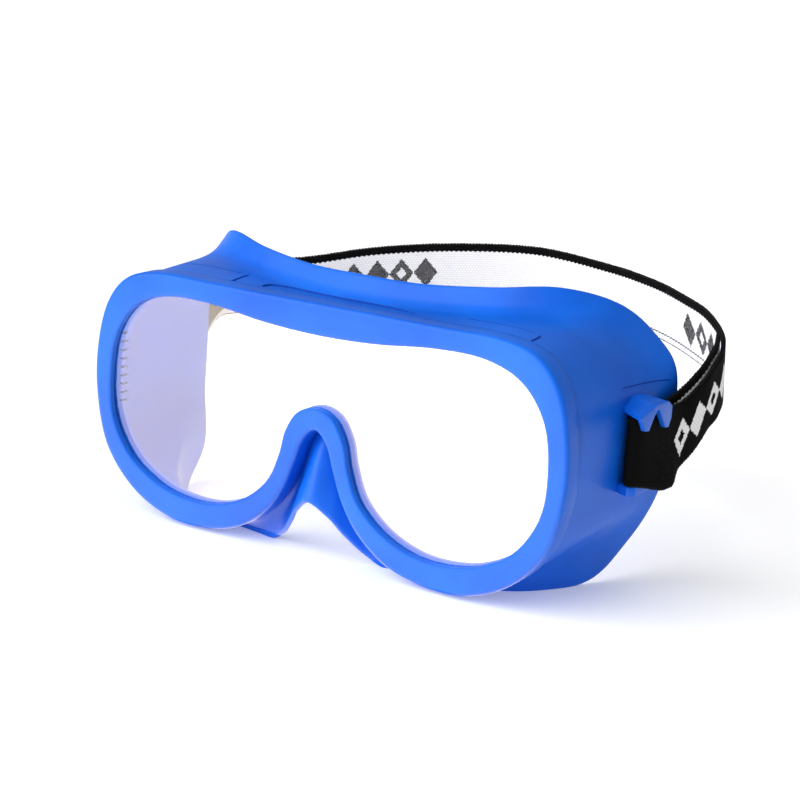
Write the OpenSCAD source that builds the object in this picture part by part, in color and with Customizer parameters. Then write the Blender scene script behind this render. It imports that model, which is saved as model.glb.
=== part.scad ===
// Safety goggles. A soft blue moulding holds a flat clear lens in a groove and seals
// on the face with a flared flange. An elastic headband is looped round a post in a
// lug on each side. The wearer looks towards -Y, and +Z is up.

/* [Front rim] */
// Depth of the rim, front to back
rim_depth = 8; // [7:0.5:10]
// How far the frame wall stands in from the rim's outer edge
rim_step = 0.8; // [0.4:0.1:1.5]
// Depth of the groove that holds the lens, measured outwards from the opening
groove_depth = 3; // [2:0.25:3.5]

/* [Lens] */
// Thickness of the lens sheet
lens_t = 2; // [1.5:0.25:2.5]
// Distance from the rim's front face to the lens
lens_setback = 2; // [1.5:0.1:4]
// Clearance between the lens edge and the groove's floor
lens_gap = 0.3; // [0.1:0.1:0.5]

/* [Frame walls] */
// Wall thickness where the frame leaves the rim
wall_t = 2.2; // [1.6:0.1:2.6]
// Thickness of the flange at its free edge
flange_t = 1.5; // [1.2:0.1:2]

/* [Headband] */
// Width of the elastic webbing
band_w = 21; // [19:0.5:22]
// Thickness of the elastic webbing
band_t = 1.4; // [1.2:0.1:1.5]
// Length of the free tail that lies inside the band
tail_len = 38; // [20:1:40]

/* [Strap lugs] */
// Height of the middle of each lug above the table
lug_z = 46.5; // [45:0.5:48]
// Thickness of the post that the webbing goes round
post_t = 2; // [1.6:0.1:2]
// Thickness of the arms above and below the webbing
arm_t = 3; // [2:0.5:3.5]

/* [Hidden] */

// Half the whole depth, from the tip of the nose saddle to the back of the headband.
// The points below have y = 0 at the rim's front, and every node is moved by this.
origin_y = 72;

blue = "royalblue";
// Points that each stretch between two outline points is divided into
steps = 3;

// Half outlines, from the middle of the brow round the temple and the cheek to the
// middle of the nose, and mirrored. Every list has one point for each station.
// The rim's outer edge: x, z
rim_half = [[0, 81.1], [20, 81.1], [42, 81.1], [62, 81], [74.5, 77.6], [82.3, 68.5],
    [86, 54], [86, 38], [81.5, 21], [70.5, 8.5], [56, 1.8], [41, 1.2], [28, 4.4],
    [17.5, 11.8], [11, 20.5], [7.4, 29], [4.4, 37.4], [0, 41.5]];
// The lens opening: x, z
opening_half = [[0, 71.2], [20, 72], [40, 74.2], [57, 74.1], [69.5, 69.6], [77.3, 59.8],
    [79.9, 47], [78.8, 32], [71.5, 19.5], [60, 12.2], [48, 9.5], [36.5, 10.2],
    [25.5, 14.6], [17, 22.2], [12.2, 30.5], [10.2, 39.5], [6.2, 45.6], [0, 48.9]];
// The corner where the wall turns out into the flange: x, y, z
root_half = [[0, 18, 79.8], [20, 19.5, 80], [42, 26, 81.2], [60, 34, 82.2],
    [72, 41.5, 80], [81.5, 50, 72.5], [87.6, 54, 60], [88, 54, 43], [86.8, 52, 27],
    [80, 41, 17.5], [70.5, 22, 9.5], [56, 13, 3.4], [29, 10.5, 3.5], [19, 9.6, 8],
    [11.8, 8.6, 16], [8.4, 7.4, 23], [5, 5.8, 30], [0, 3.8, 35]];
// The flange's free edge on the face: x, y, z
edge_half = [[0, 23, 86.5], [20, 24.5, 86.5], [42, 29.5, 88], [60.5, 38.5, 89.5],
    [74, 51.5, 85], [82.8, 60.8, 75.2], [89.3, 63, 64.5], [89.5, 62.5, 45],
    [88, 60, 27], [82, 53, 11], [76, 37, 0.8], [60, 17, 0], [34, 12.5, 0], [20.5, 10, 0],
    [15, 7.5, 4.5], [11, 4.5, 9.5], [6.5, 1.2, 15.5], [0, -1.5, 20]];

// The webbing's middle line on one side, from behind the lug to the back of the head.
// Each knot is x, y, z, then the angles that its width leans inwards and sweeps forwards.
band_half = [[93.8, 58.5, 46.5, 0, 0], [95.8, 64, 49.3, 0, 7], [98, 68.5, 52.8, 2, 12],
    [99.5, 73, 55.9, 4, 13], [99.3, 80, 58.7, 6, 12], [95.2, 88.5, 60.6, 8, 8],
    [85.2, 100, 62.7, 11, 5], [75.8, 108.5, 64.2, 13, 3], [57.2, 121.5, 66.6, 15, 2],
    [32.6, 133, 68.9, 17, 1], [0, 141.6, 70.6, 18, 0]];
// Knots where the band's stretches end: the flexing part, the arm, then the back
flex_end = 3;
arm_end = 5;

// The webbing's path round the post on the left side, seen from above: x, y.
// It starts on the outside behind the lug and ends on the inside.
loop_path = [[93.8, 58.1], [93.5, 53], [93.2, 47], [92.8, 41], [92.4, 36.5], [91.6, 33.6],
    [90.2, 32.6], [88.8, 33.6], [88.3, 36.5], [88.6, 41], [89.1, 47], [90.2, 53],
    [92, 58.4]];
loop_steps = 4;

stations = len(rim_half);
// Stations from the brow to where the nose saddle begins
nose_station = 13;
seam_t = 0.5;
// The seam's rows go through two layers of webbing and stand a little proud
seam_reach = 5.4;
seam_turn = -5;

function blend(p0, p1, p2, p3, t) =
    0.5 * (2 * p1 + (p2 - p0) * t + (2 * p0 - 5 * p1 + 4 * p2 - p3) * t * t
    + (3 * p1 - p0 - 3 * p2 + p3) * t * t * t);
function mirrored(p) = [for (k = [0:len(p) - 1]) k == 0 ? -p[0] : p[k]];
// A closed list from a half outline
function whole(half) = concat(half,
    [for (i = [len(half) - 2:-1:1]) mirrored(half[i])]);
function smooth_loop(p, n) = let (c = len(p)) [for (i = [0:c - 1]) for (j = [0:n - 1])
    blend(p[(i + c - 1) % c], p[i], p[(i + 1) % c], p[(i + 2) % c], j / n)];
function smooth_line(p, n) = let (c = len(p) - 1) concat(
    [for (i = [0:c - 1]) for (j = [0:n - 1]) blend(p[max(i - 1, 0)], p[i], p[i + 1],
        p[min(i + 2, c)], j / n)], [p[c]]);
function unit(v) = v / norm(v);
function mix(a, b, t) = a * (1 - t) + b * t;
// A clockwise outline moved outwards by d
function outset(p, d) = let (c = len(p)) [for (i = [0:c - 1])
    let (t = unit(p[(i + 1) % c] - p[(i + c - 1) % c])) p[i] + d * [-t[1], t[0]]];

rim_outline = smooth_loop(whole(rim_half), steps);
opening = smooth_loop(whole(opening_half), steps);
rim_inset = outset(rim_outline, -rim_step);
root_line = smooth_loop(whole(root_half), steps);
edge_line = smooth_loop(whole(edge_half), steps);
count = len(rim_outline);

// The frame's outer skin at station i: straight back from the rim, round the root of
// the flange in a smooth bend, and out to its edge
straight_rows = 3;
bend_rows = 6;
rows = straight_rows + bend_rows + 2;
root_row = straight_rows + 3;
function rib(i) = let (
    a = [rim_inset[i][0], rim_depth, rim_inset[i][1]],
    m = root_line[i],
    e = edge_line[i],
    b0 = mix(a, m, 0.72),
    b1 = mix(m, e, 0.45)) concat(
    [for (j = [0:straight_rows - 1]) mix(a, b0, j / straight_rows)],
    [for (j = [0:bend_rows]) let (t = j / bend_rows)
        mix(mix(b0, m, t), mix(m, b1, t), t)],
    [e]);
function above_table(p) = [p[0], p[1], max(p[2], 0)];
skin = [for (i = [0:count - 1]) [for (p = rib(i)) above_table(p)]];
// The skin's outward direction at station i, row j
function outward(i, j) = unit(cross(
    skin[(i + 1) % count][j] - skin[(i + count - 1) % count][j],
    skin[i][min(j + 1, rows - 1)] - skin[i][max(j - 1, 0)]));
function thickness(j) = mix(wall_t, flange_t, j / (rows - 1));
function lining_point(i, j) = let (p = skin[i][j] - thickness(j) * outward(i, j))
    j == 0 ? [p[0], rim_depth, p[2]] : above_table(p);
lining = [for (i = [0:count - 1]) [for (j = [0:rows - 1]) lining_point(i, j)]];

function quad(a, b, c, d) = [[a, b, c], [a, c, d]];
// A closed solid between an outer and an inner grid of points
module slab(outer, inner) {
    n = len(outer);
    m = len(outer[0]);
    half = n * m;
    points = concat([for (r = outer) for (p = r) p], [for (r = inner) for (p = r) p]);
    faces = concat(
        [for (i = [0:n - 2]) for (j = [0:m - 2]) each quad(i * m + j, (i + 1) * m + j,
            (i + 1) * m + j + 1, i * m + j + 1)],
        [for (i = [0:n - 2]) for (j = [0:m - 2]) each quad(half + i * m + j,
            half + i * m + j + 1, half + (i + 1) * m + j + 1, half + (i + 1) * m + j)],
        [for (i = [0:n - 2]) each quad(i * m, half + i * m, half + (i + 1) * m,
            (i + 1) * m)],
        [for (i = [0:n - 2]) each quad(i * m + m - 1, (i + 1) * m + m - 1,
            half + (i + 1) * m + m - 1, half + i * m + m - 1)],
        [for (j = [0:m - 2]) each quad(j, j + 1, half + j + 1, half + j)],
        [for (j = [0:m - 2]) each quad((n - 1) * m + j, half + (n - 1) * m + j,
            half + (n - 1) * m + j + 1, (n - 1) * m + j + 1)]);
    polyhedron(points, faces);
}

function part_of(grid, from, to, low, high) = [for (i = [from:to])
    [for (j = [low:high]) grid[(i + count) % count][j]]];

// A part of the frame's shell, between two stations and two rows
module shell(from, to, low, high) {
    slab(part_of(lining, from, to, low, high), part_of(skin, from, to, low, high));
}

// Extrudes an outline drawn in X and Z, from y0 backwards
module upright(y0, depth) {
    translate([0, y0 + depth, 0])
        rotate([90, 0, 0])
            linear_extrude(depth)
                children();
}

module front_rim() {
    color(blue) difference() {
        upright(0, rim_depth) polygon(rim_outline);
        upright(-1, rim_depth + 2) polygon(opening);
        upright(lens_setback, lens_t) polygon(outset(opening, groove_depth));
    }
}

module lens() {
    color("lightcyan", 0.3) upright(lens_setback, lens_t)
        polygon(outset(opening, groove_depth - lens_gap));
}

module frame_wall() {
    color(blue) shell(-nose_station * steps, nose_station * steps, 0, root_row);
}

module face_flange() {
    color(blue) shell(-nose_station * steps, nose_station * steps, root_row, rows - 1);
}

module nose_saddle() {
    color(blue) shell(nose_station * steps, count - nose_station * steps, 0, rows - 1);
}

// Places a left-hand piece on the left, or its mirror image on the right
module on_side(left) {
    if (left) children();
    else mirror([1, 0, 0]) children();
}

lug_front = 31;
lug_back = 47;
post_x = 89.6;
post_front = 36.6;
post_back = 43;
plate_x = 94.3;
plate_t = 1.5;
prong_len = 6;
arm_gap = 0.4;
// The lug's arms start inside the frame wall, which is then cut out of them
lug_root = 86.4;
// Stations of the wall behind the lug
lug_stations = [15, 27];

// An arm that stands out from the wall, from height z upwards
module arm(z, reach, back) {
    translate([0, 0, z]) linear_extrude(arm_t)
        polygon([[lug_root, lug_front - 1], [reach - 2, lug_front - 1],
            [reach, lug_front + 1], [reach, back], [lug_root, back]]);
}

module prong(y0) {
    translate([plate_x, y0, lug_z + band_w / 2 + arm_gap]) rotate([90, 0, 90])
        linear_extrude(plate_t)
            polygon([[0, 0.5], [7.5, 0.5], [5, -prong_len], [2.5, -prong_len]]);
}

module strap_lug(left) {
    top = lug_z + band_w / 2 + arm_gap;
    bottom = lug_z - band_w / 2 - arm_gap;
    color(blue) on_side(left) difference() {
        union() {
            arm(top, plate_x + plate_t, lug_back + 1);
            arm(bottom - arm_t, post_x + post_t + 1, lug_back - 1);
            translate([post_x, post_front, bottom - 0.5])
                cube([post_t, post_back - post_front, top - bottom + 1]);
            prong(lug_front - 0.5);
            prong(lug_back - 6.5);
        }
        shell(lug_stations[0], lug_stations[1], 0, root_row);
    }
}

// A ribbon of webbing along a flat path, seen from above
module ribbon_loop(path, height) {
    c = len(path);
    sides = [for (i = [0:c - 1]) let (
        t = unit(path[min(i + 1, c - 1)] - path[max(i - 1, 0)])) [-t[1], t[0]]];
    linear_extrude(height) polygon(concat(
        [for (i = [0:c - 1]) path[i] + sides[i] * band_t / 2],
        [for (i = [c - 1:-1:0]) path[i] - sides[i] * band_t / 2]));
}

module strap_loop(left) {
    color("black") on_side(left) translate([0, 0, lug_z - band_w / 2])
        ribbon_loop(smooth_line(loop_path, loop_steps), band_w);
}

// The webbing's frame at each point of the band: its middle, its travel seen from
// above, the direction of its width, and the direction that its inner face looks in
band_line = smooth_line(concat(band_half, [for (i = [len(band_half) - 2:-1:0])
    let (k = mirrored(band_half[i])) [k[0], k[1], k[2], k[3], -k[4]]]), steps);
last = len(band_line) - 1;
function middle(i) = [band_line[i][0], band_line[i][1], band_line[i][2]];
function travel(i) = let (t = middle(min(i + 1, last)) - middle(max(i - 1, 0)))
    unit([t[0], t[1], 0]);
function inside_dir(i) = cross([0, 0, 1], travel(i));
function width_dir(i) = unit([0, 0, 1] + inside_dir(i) * tan(band_line[i][3])
    - travel(i) * tan(band_line[i][4]));
function face_dir(i) = unit(cross(width_dir(i), travel(i)));

function band_face(from, to, side, shift, w) = [for (i = [from:to]) let (
    p = middle(i) + face_dir(i) * (shift + side * band_t / 2))
    [p - width_dir(i) * w / 2, p + width_dir(i) * w / 2]];

// The webbing between two points of its path, moved inwards by shift
module band(from, to, shift) {
    slab(band_face(from, to, 1, shift, band_w), band_face(from, to, -1, shift, band_w));
}

tail_shift = band_t + 0.35;
function path_length(i, n) = i >= n ? 0
    : norm(middle(i + 1) - middle(i)) + path_length(i + 1, n);
// The point of the path where a tail that starts behind the lug ends
tail_points = [for (i = [0:last - 1]) if (path_length(0, i) < tail_len) i];
tail_end = tail_points[len(tail_points) - 1];

module band_flex(left) {
    color("black") on_side(left) union() {
        band(0, flex_end * steps, 0);
        band(0, flex_end * steps, tail_shift);
    }
}

module band_arm(left) {
    color("black") on_side(left) band(flex_end * steps, arm_end * steps, 0);
}

module strap_tail(left) {
    color("black") on_side(left) band(flex_end * steps, tail_end, tail_shift);
}

module band_back() {
    color("black") band(arm_end * steps, last - arm_end * steps, 0);
}

// Two rows of thread that close the loop, through both layers behind the post
module loop_seam(left) {
    color("dimgray") on_side(left) for (row = [0, 1])
        translate([91.4 + 0.2 * row, 47.5 + 2 * row, lug_z])
            rotate([0, 0, seam_turn])
                cube([seam_reach, seam_t, band_w - 5], center = true);
}

// Moves a node so that the origin is at the middle of the whole, on the table
module placed() {
    translate([0, -origin_y, 0]) children();
}

placed() front_rim();
placed() lens();
placed() frame_wall();
placed() face_flange();
placed() nose_saddle();
placed() strap_lug(true);  // strap_lug_left
placed() strap_lug(false);  // strap_lug_right
placed() strap_loop(true);  // strap_loop_left
placed() strap_loop(false);  // strap_loop_right
placed() loop_seam(true);  // loop_seam_left
placed() loop_seam(false);  // loop_seam_right
placed() band_flex(true);  // band_flex_left
placed() band_flex(false);  // band_flex_right
placed() band_arm(true);  // band_arm_left
placed() band_arm(false);  // band_arm_right
placed() strap_tail(true);  // strap_tail_left
placed() strap_tail(false);  // strap_tail_right
placed() band_back();
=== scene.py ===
# %% [markdown]
# # Safety goggles
#
# These goggles are one soft blue moulding, one flat clear lens and one length of elastic
# webbing. The moulding is a thin tunnel: a thick rim in front holds the lens in a groove,
# a wall runs back from the rim, and a flange turns outwards where it meets the face.
# The webbing is looped round a post in a lug on each side, and sewn behind it.
#
# The packed model already holds the sizes, the joints and a plain solid for every part.
# This lesson makes the finished surfaces around it, in metres and in the same frame:
# -Y is the way the wearer looks, +X is the wearer's left, and +Z is up.

import math

import bmesh
import bpy
import numpy as np
from mathutils import Matrix, Vector


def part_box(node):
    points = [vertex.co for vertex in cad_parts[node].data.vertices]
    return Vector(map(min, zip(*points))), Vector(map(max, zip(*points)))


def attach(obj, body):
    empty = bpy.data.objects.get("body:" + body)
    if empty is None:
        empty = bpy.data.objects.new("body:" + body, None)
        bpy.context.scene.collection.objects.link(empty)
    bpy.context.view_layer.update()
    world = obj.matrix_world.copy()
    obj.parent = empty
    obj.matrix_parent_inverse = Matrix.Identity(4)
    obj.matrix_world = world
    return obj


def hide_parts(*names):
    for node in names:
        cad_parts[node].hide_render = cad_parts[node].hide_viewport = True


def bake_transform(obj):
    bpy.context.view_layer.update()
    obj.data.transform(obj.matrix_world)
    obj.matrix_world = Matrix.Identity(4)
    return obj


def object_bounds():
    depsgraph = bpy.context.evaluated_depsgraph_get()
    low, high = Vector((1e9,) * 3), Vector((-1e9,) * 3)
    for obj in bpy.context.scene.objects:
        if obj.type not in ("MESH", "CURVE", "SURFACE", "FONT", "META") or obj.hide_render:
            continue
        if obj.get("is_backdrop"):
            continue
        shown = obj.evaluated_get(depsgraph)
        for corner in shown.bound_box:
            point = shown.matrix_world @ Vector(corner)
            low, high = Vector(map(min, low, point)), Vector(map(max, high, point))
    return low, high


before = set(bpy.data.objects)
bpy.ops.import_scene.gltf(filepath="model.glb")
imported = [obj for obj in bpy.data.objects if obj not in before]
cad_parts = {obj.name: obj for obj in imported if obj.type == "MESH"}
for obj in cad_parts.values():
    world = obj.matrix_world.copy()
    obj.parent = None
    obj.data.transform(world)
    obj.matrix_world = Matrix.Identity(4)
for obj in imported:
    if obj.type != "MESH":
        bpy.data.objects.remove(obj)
cad_box = [list(corner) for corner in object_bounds()]
MM = 0.001
scene = bpy.context.scene

# %% [markdown]
# ## Camera, floor and light
#
# A longish lens, a little above the goggles and to one side, keeps the front nearly square
# and still shows one side wall. The light is a broad soft source in front on the wearer's
# right, and the pale floor glows faintly, like a light table, which fills in the shadows.
# A clear sheet shows only what it mirrors, so a bright card is laid in front, out of the
# camera's view, where the lens mirrors it. That gives the sheet its milky sheen over the
# inside of the frame.

# %% Camera
CAMERA_AT = Vector((0.32738, -0.55763, 0.20779))
CAMERA_RIGHT = Vector((0.843738, 0.533845, 0.055897))
CAMERA_UP = Vector((-0.182661, 0.187647, 0.965098))
LENS_MM = 90.27
SENSOR_MM = 36
CLIP_START = 0.01

camera = bpy.data.objects.new("camera", bpy.data.cameras.new("camera"))
scene.collection.objects.link(camera)
camera.data.lens = LENS_MM
camera.data.sensor_width = SENSOR_MM
camera.data.clip_start = CLIP_START
turn = Matrix((CAMERA_RIGHT, CAMERA_UP, CAMERA_RIGHT.cross(CAMERA_UP))).transposed()
camera.matrix_world = Matrix.Translation(CAMERA_AT) @ turn.to_4x4()
scene.camera = camera
scene.view_settings.view_transform = "Standard"
print("camera", [round(c, 3) for c in CAMERA_AT], "with a", LENS_MM, "mm lens")

# %% Floor and light
FLOOR_SIZE = 60
SKY = 0.40
FLOOR_GLOW = 0.22
FLOOR_COLOUR = (0.94, 0.94, 0.94, 1)
FLOOR_ROUGHNESS = 0.9
FLOOR_SHINE = 0.1
WHITE = (1, 1, 1, 1)
SUN_STRENGTH = 3.7
SUN_FROM = Vector((-0.45, -0.85, 0.55))
SUN_SOFTNESS = math.radians(70)
CARD_SIZE = 0.42
CARD_POWER = 1.75
CARD_COLOUR = (1.0, 0.82, 0.62)
CARD_AT = Vector((-0.08, -0.27, 0.002))

world = bpy.data.worlds.new("sky")
world.use_nodes = True
world.node_tree.nodes["Background"].inputs["Color"].default_value = WHITE
world.node_tree.nodes["Background"].inputs["Strength"].default_value = SKY
scene.world = world

bpy.ops.mesh.primitive_plane_add(size=FLOOR_SIZE)
floor = bpy.context.object
floor.name = "floor"
pale = bpy.data.materials.new("pale_floor")
pale.use_nodes = True
pale_shader = pale.node_tree.nodes["Principled BSDF"]
pale_shader.inputs["Base Color"].default_value = FLOOR_COLOUR
pale_shader.inputs["Emission Color"].default_value = WHITE
pale_shader.inputs["Emission Strength"].default_value = FLOOR_GLOW
pale_shader.inputs["Roughness"].default_value = FLOOR_ROUGHNESS
pale_shader.inputs["Specular IOR Level"].default_value = FLOOR_SHINE
floor.data.materials.append(pale)
floor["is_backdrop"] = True

sun = bpy.data.objects.new("sun", bpy.data.lights.new("sun", "SUN"))
sun.data.energy = SUN_STRENGTH
sun.data.angle = SUN_SOFTNESS
sun.rotation_euler = SUN_FROM.to_track_quat("Z", "Y").to_euler()
scene.collection.objects.link(sun)

card = bpy.data.objects.new("card", bpy.data.lights.new("card", "AREA"))
card.data.size = CARD_SIZE
card.data.energy = CARD_POWER
card.data.color = CARD_COLOUR
card.location = CARD_AT
card.rotation_euler = (math.pi, 0, 0)
card.visible_diffuse = False
card.visible_camera = False
scene.collection.objects.link(card)
print("sun, sky and a card at", [round(c, 3) for c in CARD_AT])

# %% [markdown]
# ## Curves through a few points
#
# The frame is a loop with the same number of outline points everywhere, so that point 5 of
# the rim, of the lens opening and of the flange all belong to the same station round the
# loop. A Catmull-Rom curve goes through every point and can be read at any place between
# two of them, and that is all that is needed to weave a fine mesh between the outlines.

# %% Read a smooth curve anywhere
def along(points, s, closed=False):
    """The curve's position at s, where s = 3.5 is halfway from point 3 to point 4."""
    points, s = np.asarray(points, float), np.atleast_1d(np.asarray(s, float))
    n = len(points)
    i = np.floor(s).astype(int)
    if not closed:
        i = np.clip(i, 0, n - 2)
    t = (s - i)[:, None]
    if closed:
        p0, p1, p2, p3 = (points[(i + k) % n] for k in (-1, 0, 1, 2))
    else:
        p0, p1, p2, p3 = (points[np.clip(i + k, 0, n - 1)] for k in (-1, 0, 1, 2))
    return 0.5 * (2 * p1 + (p2 - p0) * t + (2 * p0 - 5 * p1 + 4 * p2 - p3) * t**2
                  + (3 * p1 - p0 - 3 * p2 + p3) * t**3)


def whole(half):
    """A closed outline from its wearer's-left half, mirrored."""
    half = np.array(half, float)
    other = half[-2:0:-1].copy()
    other[:, 0] *= -1
    return np.vstack([half, other])


def unit(v):
    return v / np.maximum(np.linalg.norm(v, axis=-1, keepdims=True), 1e-12)


def mix(a, b, t):
    return a * (1 - t) + b * t


square = [[0, 0], [1, 0], [1, 1], [0, 1]]
print("a curve through a square passes", along(square, 0.5, True)[0], "halfway along its first side")


# %% Make a mesh piece
FRONT_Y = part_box("front_rim")[0].y


def mesh_piece(name, points_mm, faces, smooth_angle=35):
    """A piece from points in millimetres, where y = 0 is the rim's front."""
    points = np.asarray(points_mm, float).reshape(-1, 3) * MM
    points[:, 1] += FRONT_Y
    mesh = bpy.data.meshes.new(name)
    mesh.from_pydata(points.tolist(), [], faces)
    shape = bmesh.new()
    shape.from_mesh(mesh)
    bmesh.ops.recalc_face_normals(shape, faces=shape.faces)
    if shape.calc_volume(signed=True) < 0:
        bmesh.ops.reverse_faces(shape, faces=shape.faces)
    shape.to_mesh(mesh)
    shape.free()
    for face in mesh.polygons:
        face.use_smooth = True
    mesh.set_sharp_from_angle(angle=math.radians(smooth_angle))
    piece = bpy.data.objects.new(name, mesh)
    scene.collection.objects.link(piece)
    return piece


def grid_faces(n, m, wrap_n=False, wrap_m=False, start=0):
    """Quads over an n by m grid of points, wrapped round in either direction."""
    rows = range(n if wrap_n else n - 1)
    columns = range(m if wrap_m else m - 1)
    return [(start + i * m + j, start + (i + 1) % n * m + j,
             start + (i + 1) % n * m + (j + 1) % m, start + i * m + (j + 1) % m)
            for i in rows for j in columns]


print("a tube of 4 rings with 8 points each has", len(grid_faces(4, 8, wrap_m=True)), "faces")


# %% [markdown]
# ## Finishes as small functions
#
# Every finish here is a node tree on one Principled shader. Writing a tree by hand is long,
# so a tiny class makes Math nodes from plain calls. The patterns read Object coordinates on
# the moulding, which stay put because every piece sits at the origin, and the webbing's own
# UV map, along it and across it, so that the weave follows every bend.

# %% A helper that writes node trees
class Tree:
    """Adds nodes to a material by name, and does sums with Math nodes."""

    def __init__(self, name):
        self.material = bpy.data.materials.new(name)
        self.material.use_nodes = True
        self.nodes = self.material.node_tree.nodes
        self.links = self.material.node_tree.links
        self.shader = self.nodes["Principled BSDF"]
        self.output = self.nodes["Material Output"]

    def put(self, value, socket):
        if isinstance(value, bpy.types.NodeSocket):
            self.links.new(value, socket)
        elif value is not None:
            socket.default_value = value

    def add(self, kind, inputs=None, **settings):
        node = self.nodes.new(kind)
        for key, value in settings.items():
            setattr(node, key, value)
        for key, value in (inputs or {}).items():
            self.put(value, node.inputs[key])
        return node

    def sum(self, operation, *values):
        node = self.add("ShaderNodeMath", operation=operation)
        for k, value in enumerate(values):
            self.put(value, node.inputs[k])
        return node.outputs[0]

    def noise(self, where, scale, detail=2.0, roughness=0.5):
        node = self.add("ShaderNodeTexNoise",
                        {"Vector": where, "Scale": scale, "Detail": detail, "Roughness": roughness})
        return node.outputs["Fac"]

    def ramp(self, value, low, high, from_low=0.0, from_high=1.0):
        node = self.add("ShaderNodeMapRange", {"Value": value, "From Min": from_low,
                        "From Max": from_high, "To Min": low, "To Max": high})
        return node.outputs["Result"]

    def blend_colours(self, share, a, b):
        node = self.add("ShaderNodeMix", {"Factor": share}, data_type="RGBA")
        colours = [socket for socket in node.inputs if socket.type == "RGBA"]
        self.put(a, colours[0])
        self.put(b, colours[1])
        return [socket for socket in node.outputs if socket.type == "RGBA"][0]

    def bump(self, height, distance, strength=1.0, under=None):
        node = self.add("ShaderNodeBump", {"Height": height, "Distance": distance,
                                           "Strength": strength, "Normal": under})
        return node.outputs["Normal"]

    def finish(self, **inputs):
        for key, value in inputs.items():
            self.put(value, self.shader.inputs[key.replace("_", " ")])
        return self.material


print("a Tree can", ", ".join(name for name in vars(Tree) if not name.startswith("_")))

# %% [markdown]
# ### Soft PVC
#
# The frame is flexible PVC out of a polished but worn mould: a saturated blue with a satin
# gloss, a faint orange-peel ripple a couple of millimetres across, and a dusting that makes
# the gloss uneven. A little light travels inside it, which lifts the thin edges. On top of
# the brow there is a long narrow patch, rubbed and finely pitted.

# %% The blue moulding's finish
RUB_X, RUB_Y = -6.0, -61.0
RUB_HALF_X, RUB_HALF_Y = 24.0, 3.6
RUB_ABOVE = 75.0
DUST_BLUE = (0.02, 0.17, 0.78, 1)
PIT_BLUE = (0.002, 0.05, 0.40, 1)
PVC_IOR = 1.53
PVC_GLOW = 0.12
PVC_GLOW_REACH = (0.0006, 0.0016, 0.005)


def soft_pvc(name, deep, bright, shine):
    """The moulding's plastic: clouded between two blues, dusty, and rubbed on the brow."""
    t = Tree(name)
    here = t.add("ShaderNodeTexCoord").outputs["Object"]
    cloud = t.noise(here, scale=26.0, detail=3.0, roughness=0.55)
    dust = t.noise(here, scale=900.0, detail=4.0, roughness=0.65)
    peel = t.noise(here, scale=420.0, detail=1.0, roughness=0.4)
    grain = t.noise(here, scale=2600.0, detail=2.0, roughness=0.6)
    share = t.ramp(cloud, 0.0, 1.0, from_low=0.32, from_high=0.68)
    colour = t.blend_colours(share, deep, bright)
    specks = t.ramp(dust, 0.0, 0.22, from_low=0.60, from_high=0.80)
    colour = t.blend_colours(specks, colour, DUST_BLUE)
    gloss = t.sum("ADD", t.ramp(cloud, 0.33, 0.42, from_low=0.3, from_high=0.7),
                  t.ramp(dust, -0.03, 0.05, from_low=0.3, from_high=0.8))
    parts = t.add("ShaderNodeSeparateXYZ", {"Vector": here}).outputs
    side_fade = t.ramp(t.sum("ABSOLUTE", t.sum("SUBTRACT", parts[0], RUB_X * MM)), 1.0, 0.0,
                       0.6 * RUB_HALF_X * MM, RUB_HALF_X * MM)
    deep_fade = t.ramp(t.sum("ABSOLUTE", t.sum("SUBTRACT", parts[1], RUB_Y * MM)), 1.0, 0.0,
                       0.3 * RUB_HALF_Y * MM, RUB_HALF_Y * MM)
    on_brow = t.sum("GREATER_THAN", parts[2], RUB_ABOVE * MM)
    rub = t.sum("MULTIPLY", t.sum("MULTIPLY", side_fade, deep_fade), on_brow)
    pitting = t.noise(here, scale=1500.0, detail=3.0, roughness=0.6)
    pits = t.ramp(pitting, 0.0, 0.55, from_low=0.5, from_high=0.62)
    colour = t.blend_colours(t.sum("MULTIPLY", rub, pits), colour, PIT_BLUE)
    ripple = t.bump(peel, distance=0.00006, strength=0.35)
    return t.finish(Base_Color=colour, Roughness=gloss, IOR=PVC_IOR, Specular_IOR_Level=shine,
                    Subsurface_Weight=PVC_GLOW, Subsurface_Radius=PVC_GLOW_REACH,
                    Normal=t.bump(grain, distance=0.00001, strength=0.5, under=ripple))


pvc = soft_pvc("soft_blue_pvc", (0.002, 0.098, 0.58, 1), (0.004, 0.143, 0.75, 1), 0.2)
# The same plastic in a darker, duller blue for the mould lines: painted shade for the creases along
# them.
crease_shade_pvc = soft_pvc("crease_shade_blue_pvc", (0.0015, 0.042, 0.32, 1), (0.003, 0.058, 0.40, 1), 0.04)
print("finishes", pvc.name, "and", crease_shade_pvc.name, "with", len(pvc.node_tree.nodes), "nodes each")


# %% [markdown]
# ### Clear sheet
#
# The lens is a polished polycarbonate sheet. A glass-like shader mirrors a little of the
# light at each face. Real sheets also have wipe marks, so the roughness varies in fine
# streaks. Lamps have to reach what is behind the lens, so for their rays it is transparent.
# A column of small plain ticks stands where such a lens carries its printed marks.

# %% The lens's finish
MARK_X, MARK_Z = 76.6, 47.3
MARK_W, MARK_T = 1.5, 0.35
MARK_PITCH = 1.4
MARK_REACH = 12.6
MARK_GREY = (0.12, 0.12, 0.16, 1)
SHEET_TINT = (0.985, 0.985, 1.0, 1)
SHEET_IOR = 1.586
LAMP_TINT = (0.93, 0.93, 0.97, 1)
WIPE_TURN, WIPE_SQUEEZE = 0.5, 14


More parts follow.
